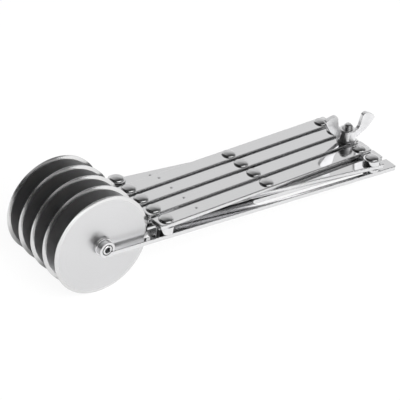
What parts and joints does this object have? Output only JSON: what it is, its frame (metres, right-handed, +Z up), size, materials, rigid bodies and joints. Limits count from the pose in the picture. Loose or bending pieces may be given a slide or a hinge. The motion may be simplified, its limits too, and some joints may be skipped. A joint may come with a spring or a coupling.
{
  "type": "expandable dough cutter",
  "caption": "Stainless pastry cutter: round cutting wheels on parallel slotted arms, spread evenly by a riveted lazy-tongs linkage and locked by a wing nut.",
  "frame": {"origin": "on the worktop, under the middle of the tool's overall box, as the tool lies on its wheels and on the ends of its arms", "axes": "+X along the arms from the wheels to the tails, +Y from the nearest wheel in the picture to the farthest and along the wheels' axles, +Z up from the worktop; the plane of the linkage dips by 7.00 degrees towards +X"},
  "size_m": [0.219, 0.0542, 0.055],
  "materials": {
    "wheel_steel": "satin stainless disc with a brighter ground bevel at the rim",
    "axle_steel": "bright turned stainless with a rolled end",
    "spacer_steel": "plain turned stainless",
    "arm_steel": "polished stainless sheet with rolled bright edges",
    "strip_steel": "mirror-polished stainless strip with fine marks along its length",
    "rivet_steel": "polished domed heads",
    "bolt_steel": "bright bolt steel",
    "nut_steel": "bright plated pressing, smooth to the touch"
  },
  "bodies": {
    "arm_3": {"arm_3": "arm_steel", "axle_3": "axle_steel", "hub_spacer_3": "spacer_steel", "front_rivet_3": "rivet_steel", "front_spacer_3": "spacer_steel"},
    "arm_1": {"arm_1": "arm_steel", "axle_1": "axle_steel", "hub_spacer_1": "spacer_steel", "front_rivet_1": "rivet_steel", "front_spacer_1": "spacer_steel", "front_top_spacer": "spacer_steel"},
    "arm_2": {"arm_2": "arm_steel", "axle_2": "axle_steel", "hub_spacer_2": "spacer_steel", "front_rivet_2": "rivet_steel", "front_spacer_2": "spacer_steel"},
    "arm_4": {"arm_4": "arm_steel", "axle_4": "axle_steel", "hub_spacer_4": "spacer_steel", "front_rivet_4": "rivet_steel", "front_spacer_4": "spacer_steel"},
    "arm_5": {"arm_5": "arm_steel", "axle_5": "axle_steel", "hub_spacer_5": "spacer_steel", "front_rivet_5": "rivet_steel", "front_spacer_5": "spacer_steel"},
    "upper_1": {"upper_strip_1": "strip_steel", "mid_rivet_1": "rivet_steel", "rear_rivet_1": "rivet_steel", "rear_spacer_1": "spacer_steel"},
    "upper_2": {"upper_strip_2": "strip_steel", "mid_rivet_2": "rivet_steel", "rear_rivet_2": "rivet_steel", "rear_spacer_2": "spacer_steel"},
    "upper_3": {"upper_strip_3": "strip_steel", "mid_rivet_3": "rivet_steel"},
    "upper_4": {"upper_strip_4": "strip_steel", "mid_rivet_4": "rivet_steel", "rear_rivet_4": "rivet_steel", "rear_spacer_4": "spacer_steel"},
    "lower_1": {"lower_strip_1": "strip_steel"},
    "lower_2": {"lower_strip_2": "strip_steel"},
    "lower_3": {"lower_strip_3": "strip_steel"},
    "lower_4": {"lower_strip_4": "strip_steel", "rear_rivet_5": "rivet_steel", "rear_spacer_5": "spacer_steel", "rear_top_spacer": "spacer_steel"},
    "lock_bolt": {"lock_bolt": "bolt_steel", "rear_spacer_3": "spacer_steel"},
    "lock_washer": {"lock_washer": "spacer_steel"},
    "wing_nut": {"wing_nut": "nut_steel"},
    "wheel_1": {"wheel_1": "wheel_steel"},
    "wheel_2": {"wheel_2": "wheel_steel"},
    "wheel_3": {"wheel_3": "wheel_steel"},
    "wheel_4": {"wheel_4": "wheel_steel"},
    "wheel_5": {"wheel_5": "wheel_steel"}
  },
  "joints": [
    {"name": "spread", "type": "hinge", "parent": "arm_3", "child": "upper_2", "pos_m": [-0.04428, 0, 0.02287], "axis": [0.1219, 0, 0.9925], "range_deg": [-0.46, 58.39]},
    {"name": "lower_3_swing", "type": "hinge", "parent": "arm_3", "child": "lower_3", "pos_m": [-0.04428, 0, 0.02287], "axis": [0.1219, 0, 0.9925], "range_deg": [-58.39, 0.46]},
    {"name": "lower_2_swing", "type": "hinge", "parent": "upper_2", "child": "lower_2", "pos_m": [0.02399, 0.00555, 0.01449], "axis": [0.1219, 0, 0.9925], "range_deg": [-116.78, 0.92]},
    {"name": "upper_3_swing", "type": "hinge", "parent": "lower_3", "child": "upper_3", "pos_m": [0.02399, -0.00555, 0.01449], "axis": [0.1219, 0, 0.9925], "range_deg": [-0.92, 116.78]},
    {"name": "upper_1_swing", "type": "hinge", "parent": "lower_2", "child": "upper_1", "pos_m": [-0.04428, 0.0111, 0.02287], "axis": [0.1219, 0, 0.9925], "range_deg": [-0.92, 116.78]},
    {"name": "lower_4_swing", "type": "hinge", "parent": "upper_3", "child": "lower_4", "pos_m": [-0.04428, -0.0111, 0.02287], "axis": [0.1219, 0, 0.9925], "range_deg": [-116.78, 0.92]},
    {"name": "lower_1_swing", "type": "hinge", "parent": "upper_1", "child": "lower_1", "pos_m": [0.02399, 0.01665, 0.01449], "axis": [0.1219, 0, 0.9925], "range_deg": [-116.78, 0.92]},
    {"name": "upper_4_swing", "type": "hinge", "parent": "lower_4", "child": "upper_4", "pos_m": [0.02399, -0.01665, 0.01449], "axis": [0.1219, 0, 0.9925], "range_deg": [-0.92, 116.78]},
    {"name": "arm_2_swing", "type": "hinge", "parent": "lower_2", "child": "arm_2", "pos_m": [-0.04428, 0.0111, 0.02287], "axis": [0.1219, 0, 0.9925], "range_deg": [-0.46, 58.39]},
    {"name": "arm_4_swing", "type": "hinge", "parent": "upper_3", "child": "arm_4", "pos_m": [-0.04428, -0.0111, 0.02287], "axis": [0.1219, 0, 0.9925], "range_deg": [-58.39, 0.46]},
    {"name": "arm_1_swing", "type": "hinge", "parent": "lower_1", "child": "arm_1", "pos_m": [-0.04428, 0.0222, 0.02287], "axis": [0.1219, 0, 0.9925], "range_deg": [-0.46, 58.39]},
    {"name": "arm_5_swing", "type": "hinge", "parent": "upper_4", "child": "arm_5", "pos_m": [-0.04428, -0.0222, 0.02287], "axis": [0.1219, 0, 0.9925], "range_deg": [-58.39, 0.46]},
    {"name": "bolt_swing", "type": "hinge", "parent": "upper_3", "child": "lock_bolt", "pos_m": [0.09225, 0, 0.00611], "axis": [0.1219, 0, 0.9925], "range_deg": [-58.39, 0.46]},
    {"name": "nut_rise", "type": "slide", "parent": "lock_bolt", "child": "lock_washer", "axis": [0.1219, 0, 0.9925], "range_m": [0, 0.0008]},
    {"name": "wing_nut_turn", "type": "hinge", "parent": "lock_washer", "child": "wing_nut", "pos_m": [0.09225, 0, 0.00611], "axis": [0.1219, 0, 0.9925], "range_deg": [0, 360]},
    {"name": "wheel_1_roll", "type": "hinge", "parent": "arm_1", "child": "wheel_1", "pos_m": [-0.082, 0.0222, 0.0275], "axis": [0, 1, 0], "continuous": true},
    {"name": "wheel_2_roll", "type": "hinge", "parent": "arm_2", "child": "wheel_2", "pos_m": [-0.082, 0.0111, 0.0275], "axis": [0, 1, 0], "continuous": true},
    {"name": "wheel_3_roll", "type": "hinge", "parent": "arm_3", "child": "wheel_3", "pos_m": [-0.082, 0, 0.0275], "axis": [0, 1, 0], "continuous": true},
    {"name": "wheel_4_roll", "type": "hinge", "parent": "arm_4", "child": "wheel_4", "pos_m": [-0.082, -0.0111, 0.0275], "axis": [0, 1, 0], "continuous": true},
    {"name": "wheel_5_roll", "type": "hinge", "parent": "arm_5", "child": "wheel_5", "pos_m": [-0.082, -0.0222, 0.0275], "axis": [0, 1, 0], "continuous": true}
  ],
  "couplings": [
    {"joint": "lower_3_swing", "follows": "spread", "ratio": -1},
    {"joint": "lower_2_swing", "follows": "spread", "ratio": -2},
    {"joint": "upper_3_swing", "follows": "spread", "ratio": 2},
    {"joint": "upper_1_swing", "follows": "spread", "ratio": 2},
    {"joint": "lower_4_swing", "follows": "spread", "ratio": -2},
    {"joint": "lower_1_swing", "follows": "spread", "ratio": -2},
    {"joint": "upper_4_swing", "follows": "spread", "ratio": 2},
    {"joint": "arm_2_swing", "follows": "spread", "ratio": 1},
    {"joint": "arm_4_swing", "follows": "spread", "ratio": -1},
    {"joint": "arm_1_swing", "follows": "spread", "ratio": 1},
    {"joint": "arm_5_swing", "follows": "spread", "ratio": -1},
    {"joint": "bolt_swing", "follows": "spread", "ratio": -1},
    {"joint": "wing_nut_turn", "follows": "nut_rise", "rad_per_m": 7854}
  ]
}
